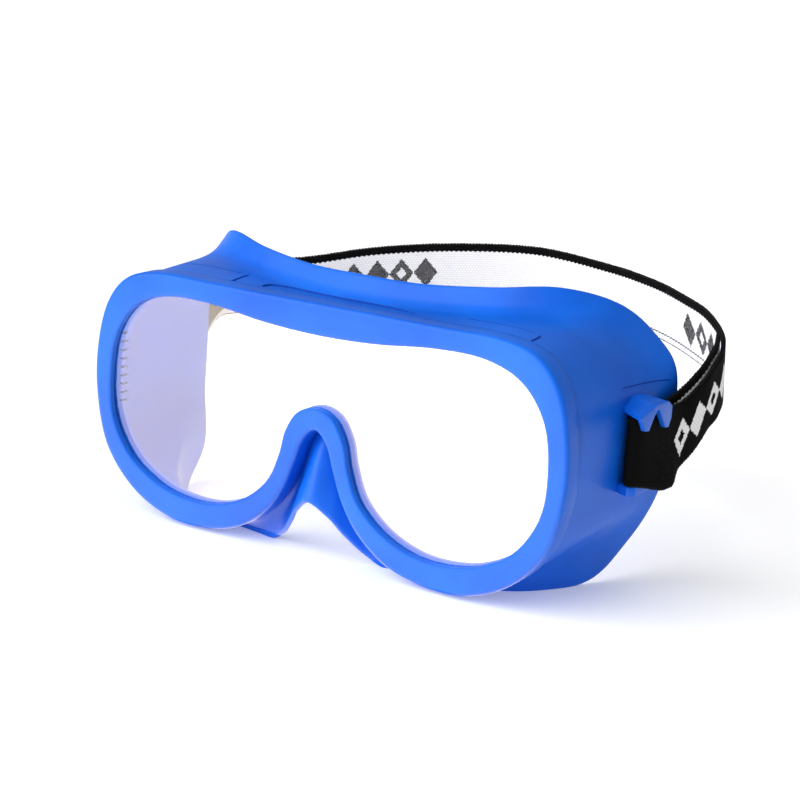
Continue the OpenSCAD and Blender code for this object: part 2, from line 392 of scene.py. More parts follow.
def clear_sheet():
    """A polished clear sheet with faint wipe marks and a column of ticks."""
    t = Tree("clear_polycarbonate")
    here = t.add("ShaderNodeTexCoord").outputs["Object"]
    stretched = t.add("ShaderNodeMapping", {"Vector": here, "Rotation": (0, WIPE_TURN, 0),
                                            "Scale": (1, 1, WIPE_SQUEEZE)}).outputs[0]
    wipes = t.noise(stretched, scale=60.0, detail=5.0, roughness=0.7)
    smears = t.noise(here, scale=30.0, detail=2.0, roughness=0.5)
    rough = t.sum("ADD", t.ramp(wipes, 0.0, 0.035, from_low=0.5, from_high=0.8),
                  t.ramp(smears, 0.005, 0.03, from_low=0.4, from_high=0.7))
    parts = t.add("ShaderNodeSeparateXYZ", {"Vector": here}).outputs
    across = t.sum("ABSOLUTE", t.sum("ADD", parts[0], MARK_X * MM))
    up = t.sum("ABSOLUTE", t.sum("SUBTRACT", parts[2], MARK_Z * MM))
    tick = t.sum("LESS_THAN", t.sum("PINGPONG", parts[2], MARK_PITCH * MM), MARK_T * MM)
    inside = t.sum("MULTIPLY", t.sum("LESS_THAN", across, MARK_W / 2 * MM),
                   t.sum("LESS_THAN", up, MARK_REACH * MM))
    colour = t.blend_colours(t.sum("MULTIPLY", tick, inside), SHEET_TINT, MARK_GREY)
    t.finish(Base_Color=colour, Roughness=rough, IOR=SHEET_IOR, Transmission_Weight=1.0)
    clear = t.add("ShaderNodeBsdfTransparent", {"Color": LAMP_TINT})
    lamp_ray = t.add("ShaderNodeLightPath").outputs["Is Shadow Ray"]
    both = t.add("ShaderNodeMixShader", {"Fac": lamp_ray})
    t.links.new(t.shader.outputs[0], both.inputs[1])
    t.links.new(clear.outputs[0], both.inputs[2])
    t.links.new(both.outputs[0], t.output.inputs["Surface"])
    return t.material


sheet = clear_sheet()
print("finish", sheet.name)


# %% [markdown]
# ### Woven elastic
#
# Elastic webbing is a double cloth: a black face and a white face woven together, which
# change places to draw a pattern, so the pattern shows in the opposite colour on the other
# face. Each point of the pattern is one crossing of threads, so its edges are small steps.
# The pattern here is a plain row of lozenges. The white face also has a black border at
# the top and a thin dark line near the bottom.
#
# The UV map holds the distance along the webbing, and across it from 0 at the bottom edge,
# in units of 100 millimetres. A point attribute says which face a point is on.

# %% Woven pattern
BAND_W = 21.0
UV_UNIT = 100.0
PICK = 0.5
MOTIF_H = 12.0
MOTIF_W = 8.86
MOTIF_AT = 0.47
HOLE_SHARE = 0.2
GROUP = 8
GROUP_PITCH = 21
BORDER_FROM = 0.89
DARK_LINE_AT = 0.14
DARK_LINE_HALF = 0.22
RIB_PITCH = 0.9
KNUCKLE_PITCH = 1.1
BLACK_YARN = (0.0008, 0.0008, 0.001, 1), (0.0032, 0.0032, 0.0036, 1)
WHITE_YARN = (0.88, 0.88, 0.86, 1), (0.95, 0.95, 0.93, 1)


def stepped(t, value, step):
    """The value rounded down to a whole number of steps."""
    return t.sum("MULTIPLY", t.sum("FLOOR", t.sum("DIVIDE", value, step)), step)


def motif(t, u, v):
    """1 inside a lozenge, in groups of cells with long plain stretches between the groups."""
    cell = t.sum("FLOOR", t.sum("DIVIDE", u, MOTIF_W))
    x = t.sum("SUBTRACT", t.sum("FRACT", t.sum("DIVIDE", u, MOTIF_W)), 0.5)
    y = t.sum("DIVIDE", t.sum("SUBTRACT", v, BAND_W * MOTIF_AT), MOTIF_H)
    reach = t.sum("ADD", t.sum("ABSOLUTE", x), t.sum("ABSOLUTE", y))
    odd = t.sum("LESS_THAN", t.sum("FRACT", t.sum("MULTIPLY", cell, 0.5)), 0.25)
    hole = t.sum("MULTIPLY", t.sum("LESS_THAN", reach, HOLE_SHARE), odd)
    shape = t.sum("SUBTRACT", t.sum("LESS_THAN", reach, 0.5), hole)
    place = t.sum("FLOORED_MODULO", cell, GROUP_PITCH)
    return t.sum("MULTIPLY", shape, t.sum("LESS_THAN", place, GROUP - 0.5))


def woven_elastic():
    """The double cloth: a pattern on each face, the relief of its threads, and painted shade in the
    hollows between them.
    """
    t = Tree("woven_elastic")
    uv = t.add("ShaderNodeUVMap", uv_map="webbing").outputs[0]
    parts = t.add("ShaderNodeSeparateXYZ", {"Vector": uv}).outputs
    u, v = t.sum("MULTIPLY", parts[0], UV_UNIT), t.sum("MULTIPLY", parts[1], UV_UNIT)
    inner = t.sum("GREATER_THAN", t.add("ShaderNodeAttribute", attribute_name="inner_face")
                  .outputs["Fac"], 0.5)
    outer = t.sum("SUBTRACT", 1.0, inner)
    shape = motif(t, stepped(t, u, PICK), stepped(t, v, PICK))
    tooth = t.sum("MULTIPLY", t.sum("PINGPONG", u, RIB_PITCH), 0.55)
    border = t.sum("GREATER_THAN", t.sum("ADD", v, tooth), BAND_W * BORDER_FROM)
    dark_line = t.sum("LESS_THAN", t.sum("ABSOLUTE", t.sum("SUBTRACT", t.sum("ADD", v, tooth),
                                                           BAND_W * DARK_LINE_AT)),
                      DARK_LINE_HALF)
    fuzz = t.noise(uv, scale=900.0, detail=3.0, roughness=0.7)
    worn = t.sum("MULTIPLY", shape, t.sum("GREATER_THAN", fuzz, 0.42))
    dark_inside = t.sum("MAXIMUM", t.sum("MAXIMUM", worn, border), dark_line)
    white = t.sum("ADD", t.sum("MULTIPLY", inner, t.sum("SUBTRACT", 1.0, dark_inside)),
                  t.sum("MULTIPLY", outer, shape))

    rib_number = t.sum("FLOOR", t.sum("DIVIDE", v, RIB_PITCH))
    column = t.sum("FRACT", t.sum("MULTIPLY", rib_number, 0.5))
    shifted = t.sum("ADD", u, t.sum("MULTIPLY", column, KNUCKLE_PITCH))
    knuckle = t.sum("ABSOLUTE", t.sum("SINE", t.sum("MULTIPLY", shifted, math.pi / KNUCKLE_PITCH)))
    rib = t.sum("ABSOLUTE", t.sum("SINE", t.sum("MULTIPLY", v, math.pi / RIB_PITCH)))
    weave = t.sum("MULTIPLY", knuckle, rib)
    # The colour is darkened where the weave is low, between the threads: painted shade in the
    # hollows of the weave.
    shade = t.ramp(t.sum("ADD", weave, t.sum("MULTIPLY", fuzz, 0.6)), 0.76, 1.0,
                   from_low=0.1, from_high=1.1)
    black = t.blend_colours(fuzz, *BLACK_YARN)
    pale = t.blend_colours(fuzz, *WHITE_YARN)
    colour = t.blend_colours(white, black, pale)
    dimmed = t.blend_colours(shade, (0.0, 0.0, 0.0, 1), colour)
    relief = t.bump(t.sum("ADD", weave, t.sum("MULTIPLY", fuzz, 0.35)), distance=0.00012,
                    strength=0.8)
    return t.finish(Base_Color=dimmed, Roughness=t.ramp(fuzz, 0.75, 0.95), Normal=relief,
                    Specular_IOR_Level=0.06)


elastic = woven_elastic()
print("finish", elastic.name, "with", len(elastic.node_tree.nodes), "nodes")


# %% Thread finish
def thread(name, dark, light):
    """Matt spun thread, with its fibres as fine fuzz."""
    t = Tree(name)
    here = t.add("ShaderNodeTexCoord").outputs["Object"]
    fuzz = t.noise(here, scale=3000.0, detail=3.0, roughness=0.7)
    colour = t.blend_colours(fuzz, dark, light)
    return t.finish(Base_Color=colour, Roughness=t.ramp(fuzz, 0.55, 0.8),
                    Normal=t.bump(fuzz, distance=0.00005, strength=0.6), Specular_IOR_Level=0.1)


black_thread = thread("black_thread", (0.002, 0.002, 0.0025, 1), (0.009, 0.009, 0.01, 1))
print("finish", black_thread.name)

# %% [markdown]
# ## The moulding
#
# A soft part that comes out of one mould has no seams between its rim, wall and flange, so
# it is one closed skin here. It could be carved out of a block with booleans, but every
# edge would then need its own clean-up. A swept section is simpler: at each station round
# the loop the section is a closed ring of points, and the rings are joined by quads.
#
# The outlines run from the middle of the brow round the temple and the cheek to the middle
# of the nose, and are mirrored.

# %% Outlines of the moulding, in millimetres
RIM = whole([[0, 81.1], [20, 81.1], [42, 81.1], [62, 81], [74.5, 77.6], [82.3, 68.5],
             [86, 54], [86, 38], [81.5, 21], [70.5, 8.5], [56, 1.8], [41, 1.2], [28, 4.4],
             [17.5, 11.8], [11, 20.5], [7.4, 29], [4.4, 37.4], [0, 41.5]])
OPENING = whole([[0, 71.2], [20, 72], [40, 74.2], [57, 74.1], [69.5, 69.6], [77.3, 59.8],
                 [79.9, 47], [78.8, 32], [71.5, 19.5], [60, 12.2], [48, 9.5], [36.5, 10.2],
                 [25.5, 14.6], [17, 22.2], [12.9, 31.5], [10.9, 39.5], [6.6, 46.2], [0, 48.5]])
ROOT = whole([[0, 18, 79.8], [20, 19.5, 80], [42, 26, 81.2], [60, 34, 82.2],
              [72, 41.5, 80], [81.5, 50, 72.5], [87.6, 54, 60], [88, 54, 43], [86.8, 52, 27],
              [80, 41, 17.5], [70.5, 22, 9.5], [56, 13, 3.4], [29, 10.5, 3.5], [19, 9.6, 8],
              [11.8, 8.6, 16], [8.4, 7.4, 23], [5, 5.8, 30], [0, 3.8, 35]])
EDGE = whole([[0, 23, 86.5], [20, 24.5, 86.5], [42, 29.5, 88], [60.5, 38.5, 89.5],
              [74, 51.5, 85], [82.8, 60.8, 75.2], [89.3, 63, 64.5], [89.5, 62.5, 45],
              [88, 60, 27], [82, 53, 11], [76, 37, 0.8], [60, 17, 0], [33, 12.5, 0],
              [22.5, 10.5, 0], [16.5, 8.3, 3.4], [11, 4.5, 9.5], [6.5, 1.2, 15.5], [0, -1.5, 20]])
RIM_DEPTH = 8.0
RIM_STEP = 0.8
BEND_FROM, BEND_TO = 0.72, 0.45
WALL_T = 2.2
FLANGE_T = 1.5
OUTER_ROUND = 1.5
INNER_ROUND = 0.9
GROOVE = 3.0
LENS_FRONT = 2.0
LENS_BACK = 4.0
PER_POINT = 10
STATIONS = len(RIM) * PER_POINT
print("outlines with", len(RIM), "points, read at", STATIONS, "stations")


# %% Skin of the wall and the flange
def outline(points, s):
    """An X-Z outline's points and its outward directions."""
    here = along(points, s, True)
    way = unit(along(points, s + 0.05, True) - along(points, s - 0.05, True))
    return here, np.stack([-way[:, 1], way[:, 0]], 1)


def lift(flat, y):
    """Points in X and Z, put at depth y."""
    return np.stack([flat[:, 0], np.broadcast_to(y, len(flat)), flat[:, 1]], 1)


def skin_at(s, t):
    """The outer skin: t runs 0 to 1 back along the wall, to 2 round the root, to 3 to the edge."""
    rim, out = outline(RIM, s)
    a = lift(rim - out * RIM_STEP, RIM_DEPTH)
    root, edge = along(ROOT, s, True), along(EDGE, s, True)
    b0, b1 = mix(a, root, BEND_FROM), mix(root, edge, BEND_TO)
    if t <= 1:
        return mix(a, b0, t)
    if t <= 2:
        return mix(mix(b0, root, t - 1), mix(root, b1, t - 1), t - 1)
    return mix(b1, edge, t - 2)


def skin_grid(s, rows):
    """The skin's points at stations s and rows t, and the directions out of it."""
    grid = np.stack([skin_at(s, t) for t in rows], 1)
    around = np.roll(grid, -1, 0) - np.roll(grid, 1, 0)
    back = np.gradient(grid, axis=1)
    return grid, unit(np.cross(around, back))


ROWS = np.concatenate([np.linspace(0, 1, 13), np.linspace(1, 2, 15)[1:],
                       np.linspace(2, 3, 7)[1:]])
stations = np.arange(STATIONS) / PER_POINT
skin, outward = skin_grid(stations, ROWS)
wall = (WALL_T + (FLANGE_T - WALL_T) * ROWS / ROWS[-1])[None, :, None]
lining = skin - wall * outward
lining[:, 0, 1] = RIM_DEPTH
print("skin grid", skin.shape)

# %% One closed section at every station
rim, rim_out = outline(RIM, stations)
hole, hole_out = outline(OPENING, stations)
section = [skin[:, j] for j in range(len(ROWS) - 1, -1, -1)]
section += [lift(rim - rim_out * 0.35, RIM_DEPTH), lift(rim - rim_out * 0.1, RIM_DEPTH - 0.1),
            lift(rim, RIM_DEPTH - 0.35), lift(rim, RIM_DEPTH * 0.6)]
for angle in np.linspace(0, math.pi / 2, 6):
    section.append(lift(rim - rim_out * OUTER_ROUND * (1 - math.cos(angle)),
                        OUTER_ROUND * (1 - math.sin(angle))))
face_out, face_in = rim - rim_out * OUTER_ROUND, hole + hole_out * INNER_ROUND
section += [lift(mix(face_out, face_in, k), 0.0) for k in (0.25, 0.5, 0.75)]
for angle in np.linspace(0, math.pi / 2, 5):
    section.append(lift(hole + hole_out * INNER_ROUND * (1 - math.sin(angle)),
                        INNER_ROUND * (1 - math.cos(angle))))
SLACK = 0.04
section += [lift(hole, LENS_FRONT - SLACK), lift(hole + hole_out * GROOVE, LENS_FRONT - SLACK),
            lift(hole + hole_out * GROOVE, LENS_BACK + SLACK), lift(hole, LENS_BACK + SLACK),
            lift(hole, RIM_DEPTH - 0.3), lift(hole + hole_out * 0.3, RIM_DEPTH)]
section += [lining[:, j] for j in range(len(ROWS))]
tip, inside_tip = skin[:, -1], lining[:, -1]
onwards = unit(skin[:, -1] - skin[:, -2])
for angle in np.linspace(math.pi, 0, 6)[1:-1]:
    section.append((tip + inside_tip) / 2 + (tip - inside_tip) / 2 * math.cos(angle)
                   + onwards * FLANGE_T / 2 * math.sin(angle))
rings = np.stack(section, 1)
rings[:, :, 2] = np.maximum(rings[:, :, 2], 0)
moulding_points = rings.reshape(-1, 3)
moulding_faces = grid_faces(STATIONS, rings.shape[1], True, True)
print("moulding section has", rings.shape[1], "points")

# %% [markdown]
# ### Marks of the mould
#
# The top of the wall shows where inserts sat in the mould: two low panels with crisp edges
# beside the brow, and a fine line of flash that runs along the root of the flange and
# hooks forward at one end. A straight line crosses each side wall. None stands more than
# half a millimetre high, but they catch light, so they are real geometry: thin plates half
# sunk in the skin, and fine beads. The beads are in a darker, duller blue of the same
# plastic, which is painted shade for the dark creases along them.

# %% Low panels and lines of flash
PANELS = [(-68.8, -40.3, 19.2), (40.8, 67.3, 16.0)]
PANEL_RISE, PANEL_SINK = 0.25, 0.4
FLASH_R = 0.5
LINE_R = 0.34
SIDE_R = 0.2
FLASH = [[-27.2, 8.6], [-28.8, 10.9], [-28.2, 14.0], [-24.0, 15.5], [-18.7, 16.3],
         [-5.2, 17.0], [10.3, 15.6], [25.9, 13.2]]
PANEL_LINES = [[[-68.8, 19.2], [-55.0, 19.3], [-41.1, 19.3]],
               [[-41.1, 19.3], [-40.2, 13], [-39.4, 8.2]],
               [[40.8, 16.4], [54.0, 16.0], [67.5, 15.4]],
               [[67.5, 15.4], [67.4, 12], [67.3, 8.4]]]
SIDE_LINE = [[34.1, 64.2], [49.0, 63.6], [62.0, 62.8]]


def on_top(x, y):
    """The skin point above the brow at x and depth y, and the direction out of it."""
    s_try = np.linspace(0, 5, 251) if x >= 0 else np.linspace(len(RIM) - 5, len(RIM), 251)
    at_x = outline(RIM, s_try)[0][:, 0]
    s = s_try[np.argmin(abs(at_x - x))]
    near = np.array([s])
    a, b = skin_at(near, 0.0)[0], skin_at(near, 1.0)[0]
    t = np.clip((y - a[1]) / (b[1] - a[1]), 0, 1.0)
    step = np.array([s - 0.05, s + 0.05])
    p = skin_at(near, t)[0]
    side = np.diff(skin_at(step, t), axis=0)[0]
    return p, unit(np.cross(side, b - a))


side_s = np.linspace(4, 9, 241)
side_grid, side_out = skin_grid(side_s, np.linspace(0, 2.4, 97))


def on_side(y, z):
    """The skin point on the wearer's-left wall nearest to y and z, and its direction out."""
    far = (side_grid[1:-1, 1:-1, 1] - y) ** 2 + (side_grid[1:-1, 1:-1, 2] - z) ** 2
    i, j = np.unravel_index(np.argmin(far), far.shape)
    return side_grid[i + 1, j + 1], side_out[i + 1, j + 1]


def panel(x0, x1, back):
    xs, ys = np.linspace(x0, x1, 15), np.linspace(RIM_DEPTH - 0.3, back, 6)
    top, low = [], []
    for x in xs:
        for y in ys:
            p, n = on_top(x, y)
            top.append(p + n * PANEL_RISE)
            low.append(p - n * PANEL_SINK)
    return box_between(top, low, len(xs), len(ys))


def box_between(top, low, n, m):
    """A closed plate between two grids of points."""
    half = n * m
    faces = grid_faces(n, m) + grid_faces(n, m, start=half)
    edge = ([i * m for i in range(n)] + [(n - 1) * m + j for j in range(1, m)]
            + [i * m + m - 1 for i in range(n - 2, -1, -1)] + [j for j in range(m - 2, 0, -1)])
    faces += [(a, b, b + half, a + half) for a, b in zip(edge, edge[1:] + edge[:1])]
    return np.vstack([top, low]), faces


def bead(path, radius, place=on_top, sides=8, steps=60):
    """A round bead along points on the skin, with pointed ends."""
    line = along(path, np.linspace(0, len(path) - 1, steps))
    spots = [place(a, b) for a, b in line]
    points = np.array([p for p, n in spots])
    for _ in range(12):
        points[1:-1] = (points[:-2] + 2 * points[1:-1] + points[2:]) / 4
    ups = np.array([n for p, n in spots])
    across = unit(np.cross(unit(np.gradient(points, axis=0)), ups))
    taper = np.sin(np.linspace(0.02, math.pi - 0.02, steps))
    sizes = radius * np.minimum(1, 0.15 + taper * 2.5)
    rings = [points + sizes[:, None] * (across * math.cos(a) + ups * math.sin(a))
             for a in np.linspace(0, 2 * math.pi, sides, endpoint=False)]
    faces = grid_faces(steps, sides, wrap_m=True)
    faces += [tuple(range(sides)), tuple((steps - 1) * sides + k for k in range(sides))]
    return np.stack(rings, 1).reshape(-1, 3), faces


def join_shapes(shapes):
    """One list of points and one of faces from several closed shapes."""
    points, faces, count = [], [], 0
    for shape_points, shape_faces in shapes:
        points.append(np.asarray(shape_points, float))
        faces += [tuple(v + count for v in face) for face in shape_faces]
        count += len(shape_points)
    return np.vstack(points), faces


moulding = mesh_piece("frame_moulding", *join_shapes([
    (moulding_points, moulding_faces)] + [panel(*place) for place in PANELS]))
moulding.data.materials.append(pvc)
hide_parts("front_rim", "frame_wall", "face_flange", "nose_saddle")
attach(moulding, "frame")
print("moulding has", len(moulding.data.polygons), "faces")

lines = [bead(FLASH, FLASH_R)] + [bead(path, LINE_R) for path in PANEL_LINES]
side_bead = bead(SIDE_LINE, SIDE_R, on_side)
lines += [side_bead, (side_bead[0] * [-1, 1, 1], side_bead[1])]
mould_lines = mesh_piece("mould_lines", *join_shapes(lines))
# The beads get the darker blue: painted shade in the creases.
mould_lines.data.materials.append(crease_shade_pvc)
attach(mould_lines, "frame")
print("mould lines have", len(mould_lines.data.polygons), "faces")

# %% [markdown]
# ## The strap lugs
#
# A lug stands out from each side wall: an arm above and below the webbing, a round-edged
# post between them, and an outer plate on the upper arm. The plate is cut to two slanting
# prongs that hang over the webbing's edge and keep it on the post. Each lug is a few
# bevelled blocks that run into one another and into the wall, as they would after moulding.

# %% Make a lug
LUG_Z = 46.5
ARM_T = 3.0
ARM_GAP = 0.4
POST_X, POST_T = 89.6, 2.0
POST_Y = (36.6, 43.0)
PLATE_X, PLATE_T = 94.3, 1.5
ARM_X = 85.9
ARM_INTO_PLATE = 0.3
ARM_SLOPE = 0.1
ARM_SKEW = 0.75
SKEW_BACK, SKEW_DEPTH = 44, 17


def block(outline_2d, low, high, axis, bevel, sign):
    """A bevelled prism. Its outline is in the two other axes, in the order x, y, z."""
    shape = bmesh.new()
    order = [k for k in range(3) if k != axis]
    ring = []
    for a, b in outline_2d:
        p = [0.0, 0.0, 0.0]
        p[order[0]], p[order[1]], p[axis] = a, b, low
        ring.append(shape.verts.new(p))
    face = shape.faces.new(ring)
    up = Vector([high - low if k == axis else 0 for k in range(3)])
    moved = bmesh.ops.extrude_face_region(shape, geom=[face])["geom"]
    bmesh.ops.translate(shape, vec=up, verts=[g for g in moved if isinstance(g, bmesh.types.BMVert)])
    bmesh.ops.bevel(shape, geom=shape.edges[:], offset=bevel, segments=3, profile=0.5,
                    affect="EDGES", clamp_overlap=True)
    shape.verts.index_update()
    points = np.array([v.co for v in shape.verts]) * [sign, 1, 1]
    faces = [tuple(v.index for v in f.verts) for f in shape.faces]
    shape.free()
    return points, faces


def lug_shapes(sign):
    """A lug's four blocks. The upper arm slopes up and slants back towards the wall."""
    top = LUG_Z + BAND_W / 2 + ARM_GAP
    bottom = LUG_Z - BAND_W / 2 - ARM_GAP
    reach = PLATE_X + PLATE_T
    upper = [[26.8, top], [27.2, top + 1.0], [36.8, top + 3.3], [44.6, top + 3.1],
             [47.3, top + 1.4], [47.6, top]]
    lower = [[85.8, 34.0], [90.5, 31.8], [92.4, 33.4], [92.6, 45.0], [91.0, 46.5], [86.2, 48.0]]
    plate = [[26.6, top + 1.2], [26.4, 58.6], [29.8, 54.2], [32.2, 53.9], [34.6, 57.0],
             [36.6, 59.2], [38.2, 59.2], [41.2, 55.4], [43.6, 52.6], [45.9, 52.3],
             [47.4, 55.0], [47.4, top + 1.2], [44.6, top + 3.1], [36.8, top + 3.4]]
    y0, y1 = POST_Y
    post = [[POST_X, y0], [POST_X + POST_T, y0], [POST_X + POST_T, y1], [POST_X, y1]]
    arm, arm_faces = block(upper, ARM_X, PLATE_X + ARM_INTO_PLATE, 0, bevel=0.4, sign=sign)
    inwards = reach - abs(arm[:, 0])
    arm[:, 2] += ARM_SLOPE * inwards * np.clip((arm[:, 2] - top) / 2, 0, 1)
    arm[:, 1] += ARM_SKEW * inwards * np.clip((SKEW_BACK - arm[:, 1]) / SKEW_DEPTH, 0, 1)
    return [(arm, arm_faces), block(lower, bottom - ARM_T, bottom, 2, bevel=0.5, sign=sign),
            block(post, bottom - 1, top + 1, 2, bevel=0.6, sign=sign),
            block(plate, PLATE_X, reach, 0, bevel=0.35, sign=sign)]


for side, sign in (("left", 1), ("right", -1)):
    lug = mesh_piece("strap_lug_" + side + "_moulded", *join_shapes(lug_shapes(sign)))
    lug.data.materials.append(pvc)
    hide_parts("strap_lug_" + side)
    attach(lug, "frame")
    print(lug.name, "has", len(lug.data.polygons), "faces")

# %% [markdown]
# ## The lens
#
# The lens needs no new shape: the packed solid is already the flat sheet, a hair smaller
# than its groove. It only gets its finish.

# %% Finish the lens
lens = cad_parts["lens"]
lens.data.materials.clear()
lens.data.materials.append(sheet)

# %% [markdown]
# ## The headband
#
# Webbing is a ribbon with its own direction: at each point of its path it has a middle, a
# width direction and a face direction. A flat strap like this is modelled directly, because
# a simulation would only crumple it. The knots give the path on one side, and the angles
# that the width leans inwards and sweeps forwards as the band climbs to the back of the head.
# A limp band never lies quite evenly, so it stands a few millimetres higher on the wearer's
# left than on the right.
#
# The webbing is one length on the real thing. Here it is three ribbons that meet edge to
# edge: one at each end, which goes round the post and doubles back as a tail, and one
# round the back.

# %% Path of the band
BAND = [[93.8, 58.5, 46.5, 0, 0], [95.3, 64, 49.7, -4, 7], [96.5, 68.5, 53.3, -7, 12],
        [97.0, 72.6, 56.4, -6, 13], [96.9, 79, 59.3, -1, 12], [94.0, 86.6, 61.8, 5, 8],
        [85.0, 97.2, 63.6, 10, 5], [75.2, 105.3, 64.8, 13, 3], [56.8, 118.8, 66.8, 15, 2],
        [32.4, 131, 68.9, 17, 1], [0, 137.4, 70.6, 18, 0]]
LOOP = [[93.8, 58.1], [93.5, 53], [93.2, 47], [92.8, 41], [92.4, 36.5], [91.6, 33.6],
        [90.2, 32.6], [88.8, 33.6], [88.3, 36.5], [88.6, 41], [89.1, 47], [90.2, 53],
        [92, 58.4]]
FLEX_END = 3
BAND_T = 1.4
TAIL_GAP = 0.35
TAIL_LEN = 38.0
TAIL_RISE = 3.0
REAR_FIRST = -17.5
BAG_OUT, BAG_DOWN = 1.8, 3.8
UNEVEN = [0, 0, 0, 0, 0.3, 1.8, 3.6, 4.0, 3.3, 1.8, 0.6,
          -0.4, -1.8, -4.2, -4.2, -2.0, 0, 0, 0, 0, 0]

mirrored = np.array(BAND[-2::-1], float) * [-1, 1, 1, 1, -1]
BAND_ALL = np.vstack([np.array(BAND, float), mirrored])
BAND_ALL[:, 2] += UNEVEN


def band_frame(s):
    """Middle, width direction and inward direction of the band at s."""
    row = along(BAND_ALL, s)
    ahead = along(BAND_ALL, np.minimum(s + 0.1, len(BAND_ALL) - 1.001))
    behind = along(BAND_ALL, np.maximum(s - 0.1, 0))
    travel = (ahead - behind)[:, :3].copy()
    travel[:, 2] = 0
    travel = unit(travel)
    inward = np.cross([0, 0, 1], travel)
    lean, sweep = np.radians(row[:, 3:4]), np.radians(row[:, 4:5])
    width = unit(np.array([0, 0, 1]) + inward * np.tan(lean) - travel * np.tan(sweep))
    return row[:, :3], width, unit(np.cross(width, travel))


def layer(s, shift):
    """The band's middle moved inwards by shift, and its width direction."""
    middle, width, inward = band_frame(s)
    return middle + inward * shift, width


print("band path has", len(BAND_ALL), "knots, and is highest at", BAND_ALL[:, 2].max(), "mm")

# %% Make a ribbon of webbing
FACE_STEPS = 16
EDGE_STEPS = 5
EDGE_INSET = 0.1
RAGGED = (0.1, -0.5)


def bagged(across, share):
    """How far a point bags outwards and down, given its distance above the middle."""
    low = np.clip((-across - 1) / (BAND_W / 2 - 1), 0, 1) ** 1.5
    return share[:, None] * low * np.array([BAG_OUT, 0, -BAG_DOWN])


def ribbon(name, middle, width, first_mm, share=None, side=1, ragged=None):
    """Webbing along middle, whose black face looks along width x travel. It has a UV map in
    units of 100 mm, and an attribute that is 1 on its white face."""
    travel = unit(np.gradient(middle, axis=0))
    out = unit(np.cross(width, travel))
    length = np.concatenate([[0], np.cumsum(np.linalg.norm(np.diff(middle, axis=0), axis=1))])
    share = np.zeros(len(middle)) if share is None else share
    flip = np.array([side, 1, 1])
    half, r = BAND_W / 2 - BAND_T / 2, BAND_T / 2
    ring = [(x, r, 0.0) for x in np.linspace(-half, half, FACE_STEPS)]
    ring += [(half + r * math.sin(a), r * math.cos(a), 0.5)
             for a in np.linspace(0, math.pi, EDGE_STEPS + 2)[1:-1]]
    ring += [(x, -r, 1.0) for x in np.linspace(half, -half, FACE_STEPS)]
    ring += [(-half - r * math.sin(a), -r * math.cos(a), 0.5)
             for a in np.linspace(0, math.pi, EDGE_STEPS + 2)[1:-1]]
    rows = []
    for k, (x, h, inner) in enumerate(ring):
        p = middle + width * x + out * h + bagged(x, share) * flip
        if ragged is not None:
            p[ragged] += travel[ragged] * RAGGED[k % 2] * (1 if ragged else -1)
        rows.append(p)
    grid = np.stack(rows, 1)
    n, m = grid.shape[:2]
    faces = grid_faces(n, m, wrap_m=True)
    faces += [tuple(range(m)), tuple((n - 1) * m + k for k in range(m))]
    piece = mesh_piece(name, grid, faces, 60)
    inner_face = piece.data.attributes.new("inner_face", "FLOAT", "POINT")
    inner_face.data.foreach_set("value", np.tile([q[2] for q in ring], n).astype(np.float32))
    uv = piece.data.uv_layers.new(name="webbing")
    u = np.repeat((length + first_mm) / UV_UNIT, m)
    v = np.tile([(q[0] + BAND_W / 2) / UV_UNIT for q in ring], n)
    index = np.zeros(len(piece.data.loops), np.int32)
    piece.data.loops.foreach_get("vertex_index", index)
    uv.data.foreach_set("uv", np.stack([u[index], v[index]], 1).astype(np.float32).ravel())
    piece.data.materials.append(elastic)
    edges = [middle + width * x + bagged(x, share) * flip
             for x in (-BAND_W / 2 + EDGE_INSET, BAND_W / 2 - EDGE_INSET)]
    return piece, length[-1], edges


print("a ribbon's section has", 2 * (FACE_STEPS + EDGE_STEPS), "points round it")

# %% [markdown]
# ### Round the back
#
# The rear ribbon starts where the ends stop bending. Every ribbon runs from the wearer's
# right to the left, so the black face is always the outer one, and the pattern runs on from
# piece to piece.

# %% The rear ribbon
rear_s = np.linspace(len(BAND_ALL) - 1 - FLEX_END, FLEX_END, 221)
rear_middle, rear_width = layer(rear_s, 0)
rear, rear_length, rear_edges = ribbon("headband_rear", rear_middle, rear_width, REAR_FIRST)
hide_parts("band_arm_left", "band_arm_right", "band_back")
print("rear ribbon is", round(rear_length), "mm long")

# %% [markdown]
# ### Round the posts
#
# Each end comes forward outside the post, goes round its front and runs back inside, as far
# as the free tail. The outer layer bags a little at its lower edge behind the post. The
# tail creeps up behind the lug, so its edge shows above the outer layer: first its black
# border, then a thin line of its white face. It ends in a raw, ragged cut.


# %% The two ends
BAG_GROWS = 31, 50
BAG_FADES = 52.5, 60
TAIL_CREEPS = 49.5, 62
TAIL_KNOTS = 0.25, 4.6


def ease(value, low, high):
    """0 up to low, 1 from high on, and a smooth rise between them."""
    t = np.clip((value - low) / (high - low), 0, 1)
    return t * t * (3 - 2 * t)


def bag_share(y):
    """How much the outer layer bags at depth y: nothing at the post's front or past the bend."""
    return ease(y, *BAG_GROWS) * (1 - ease(y, *BAG_FADES))


